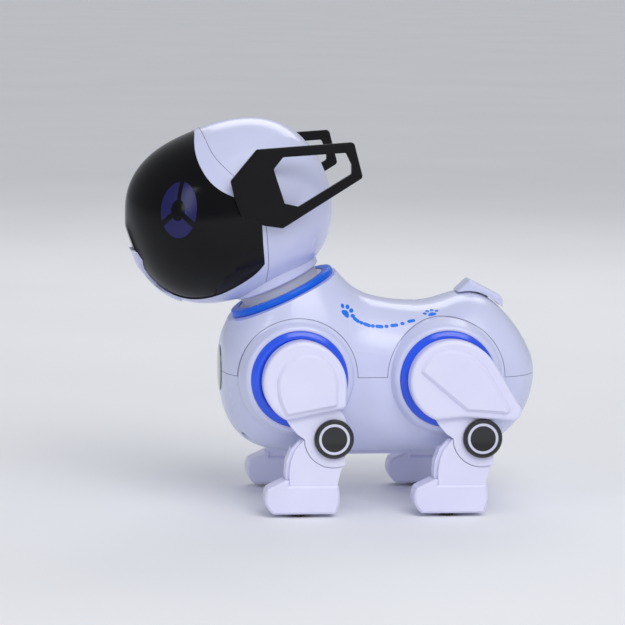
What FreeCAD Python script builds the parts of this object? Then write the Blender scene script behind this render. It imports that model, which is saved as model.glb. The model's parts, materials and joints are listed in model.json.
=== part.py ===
import FreeCAD, Part
import math
import os

from FreeCAD import Vector

# A toy robot dog that stands on four wheeled feet. Millimetres throughout.
# It is drawn with X = 0 midway between its shoulder and hip axes, +X towards the nose,
# +Y to its own left, +Z up and Z = 0 on the floor. save() then centres it on its length.

# ------------------------------------------------------------------ driving sizes
NOSE_X = 143.8                      # foremost point of the visor
RUMP_X = -102.4                     # rearmost point of the body
MIDDLE_X = (NOSE_X + RUMP_X) / 2

AXIS_SPACING = 88.0                 # shoulder axis to hip axis
SHOULDER_X = AXIS_SPACING / 2
AXIS_Z = 80.5                       # shoulder and hip axes above the floor
WALL = 2.2                          # moulded shell thickness
SEAM = 0.25                         # gap at a parting line
RUNNING = 0.08                      # radial clearance of a turning fit
SOCKET = 0.1                        # gap round a fixed piece in its seat

# body
PARTING_Z = 80.5                    # upper and lower shells meet here, and over the leg pads
PAD_R = 35.0                        # raised pad round a leg opening, at its foot
PAD_TOP_R = 31.0                    # and at its face
PAD_Y = 47.5                        # face of the pad
RING_R = 28.5                       # blue ring, outside
RING_BORE_R = 21.6                  # blue ring, inside
RING_FLOOR_Y = 44.0                 # seat of the ring
RING_TOP_Y = 49.5                   # crown of the ring

# neck: the collar plane leans forwards by NECK_TILT and the head turns about its normal
NECK = Vector(50.0, 0, 127.7)       # centre of the collar
NECK_TILT = 25.5                    # degrees
COLLAR_R = 33.0
COLLAR_BORE_R = 27.2
COLLAR_LOW = -2.5                   # heights along the neck axis
COLLAR_HIGH = 1.4
NECK_TUBE_R = 24.0
SKIRT_LOW = 6.5                     # lower edge of the ring under the head

# head: an egg with its long axis HEAD_TILT below level
HEAD = Vector(82.6, 0, 175.4)
HEAD_TILT = 20.4
HEAD_LENGTH = 61.5                  # half sizes
HEAD_HEIGHT = 52.6
HEAD_WIDTH = 52.4
EAR_PIVOT = Vector(67.0, 0, 192.0)
EAR_IN_Y = 53.6                     # inner face of the ear plate
EAR_THICK = 3.4

# legs: the elbow lies below and behind the shoulder
ELBOW_X = -19.4
ELBOW_Z = -33.7
ARM_IN_Y = 53.8                     # arm plate, outside the lower leg's tongue
ARM_OUT_Y = 57.0
COVER_IN_Y = 50.0                   # leg cover
COVER_OUT_Y = 61.2
PANEL_OUT_Y = 63.2                  # raised panel on the cover
DISC_R = 11.6                       # elbow cap
DISC_OUT_Y = 60.2
PIN_R = 3.5
WHEEL_R = 8.0
WHEEL_WIDTH = 8.6
SHAFT_R = 3.0

# neck gear train
MODULE = 1.0
GEAR_TEETH = 36
PINION_TEETH = 12
GEAR_LOW = -13.5
GEAR_HIGH = -9.5

FRONT = 1
REAR = -1
LEFT = 1
RIGHT = -1


# ------------------------------------------------------------------ helpers
def save(name, *solids):
    """Write one node: one solid, or a group of like solids."""
    shape = solids[0] if len(solids) == 1 else Part.makeCompound(list(solids))
    shape = shape.copy()
    shape.translate(Vector(-MIDDLE_X, 0, 0))
    shape.exportStep("parts/" + name + ".step")


def outline(start, steps, y=0.0):
    """Closed wire in a plane of constant Y. A step is an end point, or a mid point and an end point of an arc."""
    edges = []
    here = Vector(start[0], y, start[1])
    for step in steps:
        if isinstance(step[0], tuple):
            middle = Vector(step[0][0], y, step[0][1])
            end = Vector(step[1][0], y, step[1][1])
            edges.append(Part.Arc(here, middle, end).toShape())
        else:
            end = Vector(step[0], y, step[1])
            edges.append(Part.makeLine(here, end))
        here = end
    return Part.Wire(edges)


def plate(wire, y_low, y_high):
    """Flat plate with the given outline, between two Y planes."""
    base = wire.copy()
    base.translate(Vector(0, y_low, 0))
    return Part.Face(base).extrude(Vector(0, y_high - y_low, 0))


def disc(x, z, radius, y_low, y_high):
    """Cylinder along Y."""
    return Part.makeCylinder(radius, y_high - y_low, Vector(x, y_low, z), Vector(0, 1, 0))


def block(x_low, x_high, y_low, y_high, z_low, z_high):
    """Box given by its limits."""
    corner = Vector(x_low, y_low, z_low)
    return Part.makeBox(x_high - x_low, y_high - y_low, z_high - z_low, corner)


def turned(profile, x=0.0, z=0.0):
    """Solid of revolution about the Y axis through (x, z). Profile points are (radius, y)."""
    points = [Vector(x + radius, y, z) for radius, y in profile]
    face = Part.Face(Part.makePolygon(points + points[:1]))
    return face.revolve(Vector(x, 0, z), Vector(0, 1, 0), 360)


def rim_edges(shape, y):
    """Edges that lie wholly in the plane of constant Y."""
    chosen = []
    for edge in shape.Edges:
        box = edge.BoundBox
        if abs(box.YMin - y) < 1e-4 and abs(box.YMax - y) < 1e-4:
            chosen.append(edge)
    return chosen


def mirrored(shape):
    """The same piece on the dog's right side."""
    return shape.mirror(Vector(0, 0, 0), Vector(0, 1, 0))


def on_neck(shape):
    """Place a piece drawn about Z, with z = 0 on the collar plane, onto the neck axis."""
    placed = shape.copy()
    placed.rotate(Vector(0, 0, 0), Vector(0, 1, 0), NECK_TILT)
    placed.translate(NECK)
    return placed


def neck_turned(profile):
    """Solid of revolution about the neck axis. Profile points are (radius, height)."""
    points = [Vector(radius, 0, height) for radius, height in profile]
    face = Part.Face(Part.makePolygon(points + points[:1]))
    return on_neck(face.revolve(Vector(0, 0, 0), Vector(0, 0, 1), 360))


def closed_form(rows):
    """Smooth closed solid from rings of control points. The first and last rows are single points."""
    around = len(rows[1])
    net = [[rows[0]] * around] + rows[1:-1] + [[rows[-1]] * around]
    degree = 3
    spans = len(net) - degree
    surface = Part.BSplineSurface()
    surface.buildFromPolesMultsKnots(
        net,
        [degree + 1] + [1] * (spans - 1) + [degree + 1],
        [1] * (around + 1),
        [float(k) for k in range(spans + 1)],
        [float(k) for k in range(around + 1)],
        False, True, degree, degree)
    return Part.Solid(Part.Shell([surface.toShape()]))


RING_POINTS = 24
RING_SWELL = 3.0 / (2.0 + math.cos(2 * math.pi / RING_POINTS))   # control ring over surface size


def ring_of_points(x, widest_z, half_width, up, down, power_up, power_down):
    """One control ring: two half superellipses that meet at the widest height."""
    points = []
    for k in range(RING_POINTS):
        angle = 2 * math.pi * k / RING_POINTS
        across = math.cos(angle)
        rise = math.sin(angle)
        reach, power = (up, power_up) if rise > 0 else (down, power_down)
        y = half_width * math.copysign(abs(across) ** (2 / power), across)
        z = reach * math.copysign(abs(rise) ** (2 / power), rise)
        points.append(Vector(x, y * RING_SWELL, widest_z + z * RING_SWELL))
    return points


# ------------------------------------------------------------------ body form
# x, lowest z, widest z, highest z, half width, squareness above, squareness below
BODY_SECTIONS = (
    (RUMP_X, 72.0, 80.0, 88.0, 13.0, 2.0, 2.0),
    (-99.5, 60.0, 80.0, 94.5, 25.0, 2.1, 2.2),
    (-91.0, 46.5, 80.0, 109.0, 36.5, 2.3, 2.5),
    (-76.0, 36.0, 80.0, 124.5, 43.5, 2.4, 2.9),
    (-60.0, 32.0, 80.0, 129.5, 46.0, 2.5, 3.2),
    (-42.0, 32.0, 80.0, 121.0, 46.0, 2.5, 3.2),
    (-24.0, 32.0, 80.0, 121.0, 43.0, 2.5, 3.2),
    (-6.0, 32.0, 80.0, 123.2, 41.5, 2.4, 3.2),
    (10.0, 32.0, 81.0, 129.8, 42.5, 2.3, 3.2),
    (24.0, 32.0, 82.0, 148.8, 45.0, 2.2, 3.2),
    (38.0, 32.0, 83.0, 158.0, 46.5, 2.1, 3.1),
    (52.0, 32.5, 84.0, 155.0, 46.5, 2.1, 3.0),
    (66.0, 35.0, 85.0, 138.5, 44.0, 2.1, 2.8),
    (78.0, 43.0, 86.0, 117.0, 38.0, 2.1, 2.5),
    (86.0, 60.0, 86.0, 102.0, 23.0, 2.0, 2.2),
    (86.8, 76.0, 86.0, 94.0, 9.0, 2.0, 2.0),
)


def body_form(inset):
    """The body as one smooth solid, drawn in by the inset."""
    shorter = 1 - inset / abs(RUMP_X)
    rows = [Vector(BODY_SECTIONS[0][0] * shorter, 0, BODY_SECTIONS[0][2])]
    for x, low, widest, high, half_width, power_up, power_down in BODY_SECTIONS:
        rows.append(ring_of_points(x * shorter, widest, half_width - inset, high - widest - inset,
                                   widest - low - inset, power_up, power_down))
    rows.append(Vector(BODY_SECTIONS[-1][0] * shorter, 0, BODY_SECTIONS[-1][2]))
    return closed_form(rows)


def leg_openings():
    """Shoulder and hip axis positions along X."""
    return (SHOULDER_X, -SHOULDER_X)


def for_each_opening(make):
    """The same feature round all four leg openings."""
    shapes = []
    for x in leg_openings():
        feature = make(x)
        shapes.append(feature)
        shapes.append(mirrored(feature))
    return shapes[0].multiFuse(shapes[1:])


PAD_ROOT_Y = 32.0
PAD_BEND_Y = 38.0
PAD_ROUND = 3.2
OPENING_R = RING_BORE_R             # clear opening for the leg's hub
SCREWS = ((72.0, 20.0), (-80.0, 20.0))
SCREW_BOSS_R = 4.2
SCREW_HEAD_R = 2.8
SCREW_HEAD_Z = 47.0
SCREW_LENGTH = 20.0
SCREW_R = 1.4
BOSS_TOP_Z = 60.0
DOOR_HALF_X = 27.0
DOOR_HALF_Y = 19.0
DOOR_Z = 31.4
SWITCH_X = -52.0
SWITCH_TRAVEL = 4.0
GRILLE_X = 53.0
GRILLE_PITCH = 4.0
LENS_Z = 81.0
LENS_HALF_Y = 11.0
LENS_HALF_Z = 13.5
TAIL = Vector(-71.0, 0, 122.0)      # a point on the tail's axis
TAIL_POST_R = 4.0
TAIL_HALF_Y = 9.0
FAR = 200.0                         # longer than anything it cuts


def pad(x):
    """Raised pad with its ring seat, open inside."""
    outer = turned(((0, PAD_ROOT_Y), (PAD_R, PAD_ROOT_Y), (PAD_R, PAD_BEND_Y),
                    (PAD_TOP_R, PAD_Y), (0, PAD_Y)), x, AXIS_Z)
    outer = outer.makeFillet(PAD_ROUND, rim_edges(outer, PAD_Y))
    inner_r = PAD_R - WALL
    hollow = turned(((0, PAD_ROOT_Y - 1), (inner_r, PAD_ROOT_Y - 1), (inner_r, PAD_BEND_Y - 1),
                     (RING_R + 0.3, RING_FLOOR_Y - WALL), (0, RING_FLOOR_Y - WALL)), x, AXIS_Z)
    return outer.cut(hollow)


def opening(x):
    """Ring seat and clear opening."""
    seat = disc(x, AXIS_Z, RING_R + SOCKET, RING_FLOOR_Y, PAD_Y + 10)
    return seat.fuse(disc(x, AXIS_Z, OPENING_R, 20, PAD_Y + 10))


def lower_region(gap):
    """Everything on the lower shell's side of the parting line."""
    low = block(-FAR, FAR, -FAR, FAR, -FAR, PARTING_Z + gap)
    arches = [disc(x, AXIS_Z, PAD_R + gap, -FAR, FAR) for x in leg_openings()]
    return low.multiFuse(arches)


def screw_posts(z_low, z_high):
    """Cylinders at the four screw places."""
    posts = []
    for x, y in SCREWS:
        for side in (LEFT, RIGHT):
            posts.append(Part.makeCylinder(SCREW_BOSS_R, z_high - z_low, Vector(x, side * y, z_low)))
    return posts[0].multiFuse(posts[1:])


def screw_holes(radius, z_low, z_high):
    """Bores at the four screw places."""
    holes = []
    for x, y in SCREWS:
        for side in (LEFT, RIGHT):
            holes.append(Part.makeCylinder(radius, z_high - z_low, Vector(x, side * y, z_low)))
    return holes


def lens_prism(grow):
    """Oval bar along X that marks out the chest lens."""
    ellipse = Part.Ellipse(Vector(0, 0, 0), LENS_HALF_Z + grow, LENS_HALF_Y + grow).toShape()
    oval = Part.Face(Part.Wire([ellipse]))
    oval.rotate(Vector(0, 0, 0), Vector(0, 1, 0), 90)
    oval.translate(Vector(60, 0, LENS_Z))
    return oval.extrude(Vector(60, 0, 0))


def grille_holes():
    """Speaker holes in the belly."""
    holes = []
    for row in range(-2, 3):
        for column in range(-2, 3):
            if abs(row) + abs(column) < 4:
                place = Vector(GRILLE_X + row * GRILLE_PITCH, column * GRILLE_PITCH, 25)
                holes.append(Part.makeCylinder(1.1, 20, place))
    return holes


SOCKET_Z = 87.0
TAIL_AXIS = Vector(-0.27, 0, 0.963)


def tail_post(radius, below, above):
    """Cylinder on the tail's pivot axis."""
    foot = TAIL - TAIL_AXIS * below
    return Part.makeCylinder(radius, below + above, foot, TAIL_AXIS)


def body_shells(outer, inner):
    """Lower and upper shells of the body."""
    wall = outer.cut(inner)
    above_collar = on_neck(block(-FAR, FAR, -FAR, FAR, COLLAR_LOW, FAR))

    lower = wall.common(lower_region(0)).cut(above_collar)
    lower = lower.fuse(for_each_opening(pad))
    bosses = screw_posts(0, BOSS_TOP_Z).common(outer)
    lower = lower.fuse(bosses)
    cuts = [for_each_opening(opening), lens_prism(SOCKET)]
    cuts += screw_holes(SCREW_R + SOCKET, 0, BOSS_TOP_Z + 1)
    cuts += screw_holes(SCREW_HEAD_R + SOCKET, 0, SCREW_HEAD_Z)
    cuts += grille_holes()
    cuts.append(block(-DOOR_HALF_X - SEAM, DOOR_HALF_X + SEAM, -DOOR_HALF_Y - SEAM, DOOR_HALF_Y + SEAM, 20, 40))
    cuts.append(block(SWITCH_X - 3.6, SWITCH_X + SWITCH_TRAVEL + 3.6, -2.4, 2.4, 20, 40))
    lower = lower.cut(cuts)

    upper = wall.cut(lower_region(SEAM))
    deck = on_neck(Part.makeCylinder(60, 2.5, Vector(0, 0, COLLAR_LOW - 2.5))).common(outer)
    posts = screw_posts(BOSS_TOP_Z + SEAM, FAR).common(outer)
    upper = upper.multiFuse([deck, posts.cut(on_neck(block(-FAR, FAR, -FAR, FAR, -4, FAR)))])
    neck_hole = on_neck(Part.makeCylinder(COLLAR_BORE_R, 60, Vector(0, 0, -40)))
    pilots = screw_holes(SCREW_R, BOSS_TOP_Z, BOSS_TOP_Z + 14)
    slot = block(-FAR, -88, -4.7, 4.7, SOCKET_Z - 1.8, SOCKET_Z + 1.8)
    tail_bore = tail_post(TAIL_POST_R + RUNNING, 12, 5)
    upper = upper.cut([above_collar, neck_hole, tail_bore, lens_prism(SOCKET), slot] + pilots)
    return lower, upper


# ------------------------------------------------------------------ pieces on the body
def leg_ring(x):
    """Domed ring round a leg opening."""
    middle = (RING_R + RING_BORE_R) / 2
    profile = ((RING_BORE_R, RING_FLOOR_Y), (RING_R, RING_FLOOR_Y), (RING_R, PAD_Y), (RING_R - 0.5, PAD_Y + 1.1),
               (middle + 0.8, RING_TOP_Y), (middle - 0.8, RING_TOP_Y), (RING_BORE_R + 0.5, PAD_Y + 1.1),
               (RING_BORE_R, PAD_Y))
    return turned(profile, x, AXIS_Z)


def collar_ring():
    """Rounded band at the foot of the neck."""
    return neck_turned(((COLLAR_BORE_R, COLLAR_LOW), (COLLAR_R - 0.6, COLLAR_LOW), (COLLAR_R, COLLAR_LOW + 0.8),
                        (COLLAR_R, COLLAR_HIGH - 1.4), (COLLAR_R - 0.5, COLLAR_HIGH - 0.4),
                        (COLLAR_R - 1.6, COLLAR_HIGH), (COLLAR_BORE_R, COLLAR_HIGH)))


def chest_lens(body_at):
    """Dark oval window that follows the chest."""
    return body_at(-0.5).common(lens_prism(0)).cut(body_at(WALL - 0.4))


def battery_door():
    """Flat door in the belly, with a rim inside."""
    door = block(-DOOR_HALF_X, DOOR_HALF_X, -DOOR_HALF_Y, DOOR_HALF_Y, DOOR_Z, 36.0)
    door = door.makeFillet(3.0, [e for e in door.Edges if e.BoundBox.ZLength > 4])
    well = block(-DOOR_HALF_X + 2, DOOR_HALF_X - 2, -DOOR_HALF_Y + 2, DOOR_HALF_Y - 2, DOOR_Z + 2, 37)
    return door.cut(well)


CELL_R = 7.2
CELL_LENGTH = 50.0
CELL_Z = 43.6


def battery_cells():
    """Three round cells side by side, each with its cap."""
    cells = []
    for column in (-1, 0, 1):
        y = column * (2 * CELL_R + 0.4)
        can = Part.makeCylinder(CELL_R, CELL_LENGTH - 1.5, Vector(-CELL_LENGTH / 2, y, CELL_Z), Vector(1, 0, 0))
        cap = Part.makeCylinder(2.7, 1.5, Vector(CELL_LENGTH / 2 - 1.5, y, CELL_Z), Vector(1, 0, 0))
        cells.append(can.fuse(cap))
    return cells


def battery_tray():
    """Open box that holds the cells, over the door."""
    half_x = CELL_LENGTH / 2 + 1.8
    half_y = 3 * CELL_R + 2.4
    top = CELL_Z + CELL_R + 1.8
    box = block(-half_x - 1.6, half_x + 1.6, -half_y - 1.6, half_y + 1.6, 39.6, top)
    return box.cut(block(-half_x, half_x, -half_y, half_y, 30, top - 1.6))


BOARD_Z = 106.0


def main_board():
    """Circuit board with its larger parts."""
    board = block(-40, 8, -21, 21, BOARD_Z, BOARD_Z + 1.6)
    top = BOARD_Z + 1.6
    chip = block(-24, -12, -6, 6, top, top + 1.8)
    radio = block(-38, -28, 6, 18, top, top + 2.2)
    coil = Part.makeCylinder(3, 6, Vector(0, 12, top))
    capacitor = Part.makeCylinder(2.5, 7, Vector(0, -12, top))
    plug_row = block(-36, -20, -19, -13, top, top + 5)
    return board.multiFuse([chip, radio, coil, capacitor, plug_row])


def speaker():
    """Small loudspeaker that faces down onto the belly holes."""
    base_z = 38.0
    profile = ((0, 0), (10, 0), (10, 0.8), (12.5, 0.8), (12.5, 2.4), (9, 2.4), (7, 5.5), (7, 8.5), (0, 8.5))
    points = [Vector(radius, 0, height) for radius, height in profile]
    body = Part.Face(Part.makePolygon(points + points[:1])).revolve(Vector(0, 0, 0), Vector(0, 0, 1), 360)
    body.translate(Vector(GRILLE_X, 0, base_z))
    return body


def charge_socket():
    """Charging socket behind a slot in the rump."""
    can = block(-100.0, -92.0, -4.5, 4.5, SOCKET_Z - 1.6, SOCKET_Z + 1.6)
    mouth = block(-101, -94.5, -3.8, 3.8, SOCKET_Z - 1.0, SOCKET_Z + 1.0)
    tongue = block(-99.5, -93.5, -2.8, 2.8, SOCKET_Z - 0.3, SOCKET_Z + 0.3)
    return can.cut(mouth).fuse(tongue)


def body_screws():
    """The four screws that hold the shells together."""
    screws = []
    for x, y in SCREWS:
        for side in (LEFT, RIGHT):
            place = Vector(x, side * y, SCREW_HEAD_Z - 2)
            head = Part.makeCylinder(SCREW_HEAD_R, 2, place)
            shank = Part.makeCylinder(SCREW_R, SCREW_LENGTH + 2, place)
            slot = Part.makeBox(4, 0.8, 1, place - Vector(2, 0.4, 0.2))
            cross = Part.makeBox(0.8, 4, 1, place - Vector(0.4, 2, 0.2))
            screws.append(head.fuse(shank).cut([slot, cross]))
    return screws


DRIVE_HALF_Y = 20.0
SHAFT_IN_Y = 12.0


def leg_drive(x):
    """Gearbox between a pair of legs: a hollow case with a bearing boss on each side."""
    case = block(x - 19, x + 19, -DRIVE_HALF_Y, DRIVE_HALF_Y, AXIS_Z - 14, AXIS_Z + 12)
    hollow = block(x - 17, x + 17, -DRIVE_HALF_Y + 2, DRIVE_HALF_Y - 2, AXIS_Z - 12, AXIS_Z + 10)
    motor = Part.makeCylinder(10, 30, Vector(x, -15, AXIS_Z - 23.5), Vector(0, 1, 0))
    inner_boss = disc(x, AXIS_Z, 6, SHAFT_IN_Y, DRIVE_HALF_Y)
    outer_boss = disc(x, AXIS_Z, 6, DRIVE_HALF_Y, DRIVE_HALF_Y + 3)
    bore = disc(x, AXIS_Z, SHAFT_R + RUNNING, -DRIVE_HALF_Y - 4, DRIVE_HALF_Y + 4)
    bosses = [inner_boss, outer_boss, mirrored(inner_boss), mirrored(outer_boss)]
    return case.cut(hollow).multiFuse(bosses + [motor]).cut(bore)


# ------------------------------------------------------------------ neck
def gear(teeth, thickness, bore, turn):
    """Spur gear about Z with involute flanks, turned by the given angle."""
    pressure = math.radians(20)
    backlash = 0.12
    pitch_r = MODULE * teeth / 2
    base_r = pitch_r * math.cos(pressure)
    tip_r = pitch_r + 0.8 * MODULE
    root_r = pitch_r - 1.1 * MODULE
    start_r = max(base_r, root_r)
    half_pitch = (math.pi * MODULE / 2 - backlash) / (2 * pitch_r)
    pitch_inv = math.tan(pressure) - pressure
    steps = 5
    flank = []
    for k in range(steps + 1):
        radius = start_r + (tip_r - start_r) * k / steps
        rolled = math.acos(min(1.0, base_r / radius))
        flank.append((radius, half_pitch + pitch_inv - (math.tan(rolled) - rolled)))
    points = []
    for tooth in range(teeth):
        centre = 2 * math.pi * tooth / teeth + math.radians(turn)
        profile = [(root_r, centre - flank[0][1])]
        profile += [(radius, centre - half) for radius, half in flank]
        profile += [(radius, centre + half) for radius, half in reversed(flank)]
        profile.append((root_r, centre + flank[0][1]))
        points += [Vector(radius * math.cos(a), radius * math.sin(a), 0) for radius, a in profile]
    tidy = [points[0]]
    for point in points[1:]:
        if (point - tidy[-1]).Length > 1e-4:
            tidy.append(point)
    blank = Part.Face(Part.makePolygon(tidy + tidy[:1])).extrude(Vector(0, 0, thickness))
    return blank.cut(Part.makeCylinder(bore, thickness + 2, Vector(0, 0, -1)))


PINION_OFFSET = MODULE * (GEAR_TEETH + PINION_TEETH) / 2
MOTOR_SHAFT_R = 1.0
TUBE_BORE_R = 21.5
TUBE_TOP = 27.0


def neck_tube():
    """Tube that carries the head, with its gear at the foot and a flange inside the head."""
    tube = neck_turned(((TUBE_BORE_R, -7.5), (NECK_TUBE_R, -7.5), (NECK_TUBE_R, TUBE_TOP - 2), (27.5, TUBE_TOP - 2),
                        (27.5, TUBE_TOP), (TUBE_BORE_R, TUBE_TOP)))
    floor = neck_turned(((12.0, GEAR_HIGH), (NECK_TUBE_R, GEAR_HIGH), (NECK_TUBE_R, -7.5), (12.0, -7.5)))
    wheel = gear(GEAR_TEETH, GEAR_HIGH - GEAR_LOW, 12.0, 0)
    wheel.translate(Vector(0, 0, GEAR_LOW))
    return tube.multiFuse([floor, on_neck(wheel)])


def neck_pinion():
    """Small gear on the neck motor's shaft."""
    small = gear(PINION_TEETH, GEAR_HIGH - GEAR_LOW, MOTOR_SHAFT_R + RUNNING / 2, 180 / PINION_TEETH)
    small.translate(Vector(-PINION_OFFSET, 0, GEAR_LOW - 0.4))
    return on_neck(small)


def neck_bearing():
    """Plain bearing ring that guides the neck tube."""
    inside = NECK_TUBE_R + RUNNING
    return neck_turned(((inside, COLLAR_LOW - 4), (28.4, COLLAR_LOW - 4), (28.4, COLLAR_LOW - 2.5),
                        (COLLAR_BORE_R, COLLAR_LOW - 2.5), (COLLAR_BORE_R, COLLAR_HIGH - 0.6),
                        (inside, COLLAR_HIGH - 0.6)))


def neck_motor():
    """Motor that turns the neck, with its mounting plate."""
    top = GEAR_LOW - 2.5
    can = Part.makeCylinder(7.6, 20, Vector(-PINION_OFFSET, 0, top - 20))
    face = Part.makeBox(20, 30, 1.5, Vector(-PINION_OFFSET - 10, -15, top))
    shaft = Part.makeCylinder(MOTOR_SHAFT_R, GEAR_HIGH - top, Vector(-PINION_OFFSET, 0, top))
    return on_neck(can.multiFuse([face, shaft]))


def head_base_ring(head):
    """White ring that closes the foot of the head round the neck tube."""
    inside = NECK_TUBE_R + SOCKET
    ring = neck_turned(((inside, SKIRT_LOW), (26.2, SKIRT_LOW), (26.8, SKIRT_LOW + 0.6), (27.4, 14), (29.0, 17.5),
                        (32.5, 20.5), (32.5, 30), (inside, 30)))
    return ring.cut(head)


# ------------------------------------------------------------------ head
HEAD_ROWS = 13
SIDE_POWER = 2.48                    # squareness of the head from the side, and of its back from above
FACE_POWER = 1.95                    # squareness of its front from above
POLE_SHARE = 0.24                    # flat of each end, as a share of the height


def head_form(grow):
    """The head as one smooth egg, narrower towards the front."""
    length = HEAD_LENGTH + grow
    height = HEAD_HEIGHT + grow
    width = HEAD_WIDTH + grow
    cap = POLE_SHARE * height
    rows = [Vector(-length, 0, 0), ring_of_points(-length, 0, cap, cap, cap, 2.0, 2.0)]
    for k in range(1, HEAD_ROWS - 1):
        turn = math.pi * (k - 0.35) / (HEAD_ROWS - 1.7)
        along = -length * math.copysign(abs(math.cos(turn)) ** (2 / SIDE_POWER), math.cos(turn))
        plan_power = SIDE_POWER if along < 0 else FACE_POWER
        share = abs(along / length)
        up = height * (1 - share ** SIDE_POWER) ** (1 / SIDE_POWER)
        across = width * (1 - share ** plan_power) ** (1 / plan_power)
        rows.append(ring_of_points(along, 0, across, up, up, 2.0, 2.0))
    rows += [ring_of_points(length, 0, cap, cap, cap, 2.0, 2.0), Vector(length, 0, 0)]
    form = closed_form(rows)
    form.rotate(Vector(0, 0, 0), Vector(0, 1, 0), HEAD_TILT)
    form.translate(HEAD)
    return form


def smooth_curve(points, y):
    """Spline through points given as (x, z)."""
    curve = Part.BSplineCurve()
    curve.interpolate([Vector(x, y, z) for x, z in points])
    return curve.toShape()


BROW_EDGE = ((103.5, 222.6), (105.1, 216.2), (104.6, 209.3), (102.0, 202.3), (97.2, 195.4), (91.0, 190.6),
             (82.0, 186.8), (70.0, 182.5))
JAW_EDGE = ((64.6, 147.6), (69.4, 141.2), (77.6, 134.6), (87.7, 128.4), (98.4, 124.6), (109.0, 124.2),
            (118.0, 127.0), (127.0, 132.4), (137.0, 140.0))
FRAME_EDGE = ((101.5, 226.0), (98.6, 218.5), (95.8, 211.8), (91.5, 206.2), (85.4, 200.4), (76.0, 192.0),
              (68.6, 184.6))


def visor_prism():
    """Bar along Y with the visor's side outline."""
    brow = smooth_curve(BROW_EDGE, 0)
    jaw = smooth_curve(JAW_EDGE, 0)
    ear_end = Vector(BROW_EDGE[-1][0], 0, BROW_EDGE[-1][1])
    cheek = [ear_end, Vector(67.9, 0, 178.5), Vector(67.6, 0, 171.0), Vector(66.4, 0, 159.5),
             Vector(JAW_EDGE[0][0], 0, JAW_EDGE[0][1])]
    front = [Vector(JAW_EDGE[-1][0], 0, JAW_EDGE[-1][1]), Vector(170, 0, 160), Vector(170, 0, 240),
             Vector(BROW_EDGE[0][0] + 4, 0, 240), Vector(BROW_EDGE[0][0], 0, BROW_EDGE[0][1])]
    wire = Part.Wire([brow] + Part.makePolygon(cheek).Edges + [jaw] + Part.makePolygon(front).Edges)
    bar = Part.Face(wire).extrude(Vector(0, 2 * FAR, 0))
    bar.translate(Vector(0, -FAR, 0))
    return bar


def drawn_in(bar, gap):
    """The part of a bar along Y that stays clear of its rear, upper and lower outline by the gap."""
    kept = bar
    for shift in (Vector(gap, 0, 0), Vector(0, 0, gap), Vector(0, 0, -gap)):
        copy = bar.copy()
        copy.translate(shift)
        kept = kept.common(copy)
    return kept


def frame_prism(shift):
    """Bar along Y that holds everything in front of the head's parting line."""
    edge = smooth_curve(FRAME_EDGE, 0)
    end = FRAME_EDGE[-1]
    down = [Vector(end[0], 0, end[1]), Vector(65.8, 0, 178), Vector(65.2, 0, 170), Vector(63.4, 0, 156),
            Vector(62.2, 0, 146), Vector(62.4, 0, 136), Vector(63.5, 0, 100), Vector(180, 0, 100),
            Vector(180, 0, 250), Vector(FRAME_EDGE[0][0] + 3, 0, 250), Vector(FRAME_EDGE[0][0], 0, FRAME_EDGE[0][1])]
    wire = Part.Wire([edge] + Part.makePolygon(down).Edges)
    bar = Part.Face(wire).extrude(Vector(0, 2 * FAR, 0))
    bar.translate(Vector(shift, -FAR, 0))
    return bar


# right half of the nose seen from the front: a wide bar above a waisted stem that spreads at the chin
NOSE_HALF = ((10.4, 152.4), (11.6, 146.4), (6.4, 141.0), (4.8, 136.6), (5.6, 131.5), (9.0, 127.0), (9.4, 110.0))
NOSE_CORNER_R = 2.0
NOSE_START_X = 110.0


def nose_prism(grow):
    """Bar along X with the nose's front outline, with rounded corners."""
    right = [Vector(NOSE_START_X - grow, y + grow, z) for y, z in NOSE_HALF]
    left = [Vector(NOSE_START_X - grow, -y - grow, z) for y, z in reversed(NOSE_HALF)]
    points = right + left
    points[0].z += grow
    points[-1].z += grow
    bar = Part.Face(Part.makePolygon(points + points[:1])).extrude(Vector(60, 0, 0))
    corners = [e for e in bar.Edges if e.BoundBox.XLength > 50 and e.CenterOfMass.z > 115]
    return bar.makeFillet(NOSE_CORNER_R, corners)


EYE = Vector(115.8, 41.6, 179.0)
EYE_AZIMUTH = 53.0                   # degrees from straight ahead
EYE_HALF_WIDE = 11.4
EYE_HALF_TALL = 16.4
EYE_CORE = 0.38                      # dark centre, as a share of the eye
EYE_GAP = 13.0                       # degrees of dark spoke between two segments
CORE_SPOKE = 9.0                     # a spoke takes this many more degrees beside the core


def eye_sector(middle, grow):
    """Bar with the outline of one lit segment of the eye."""
    half = 60 - EYE_GAP / 2
    steps = 10
    points = []
    for share, order in ((1.0, 1), (EYE_CORE, -1)):
        spread = half if share == 1.0 else half - CORE_SPOKE
        for k in range(steps + 1):
            angle = math.radians(middle + order * spread * (2 * k / steps - 1))
            wide = EYE_HALF_WIDE * share + (grow if share == 1.0 else -grow)
            tall = EYE_HALF_TALL * share + (grow if share == 1.0 else -grow)
            points.append(Vector(0, wide * math.cos(angle), tall * math.sin(angle)))
    bar = Part.Face(Part.makePolygon(points + points[:1])).extrude(Vector(40, 0, 0))
    bar.translate(Vector(-20, 0, 0))
    bar.rotate(Vector(0, 0, 0), Vector(0, 0, 1), EYE_AZIMUTH)
    bar.translate(EYE)
    return bar


def eye_segments(grow):
    """All three segments of the left eye."""
    bars = [eye_sector(middle, grow) for middle in (30, 150, 270)]
    return bars[0].multiFuse(bars[1:])


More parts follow.
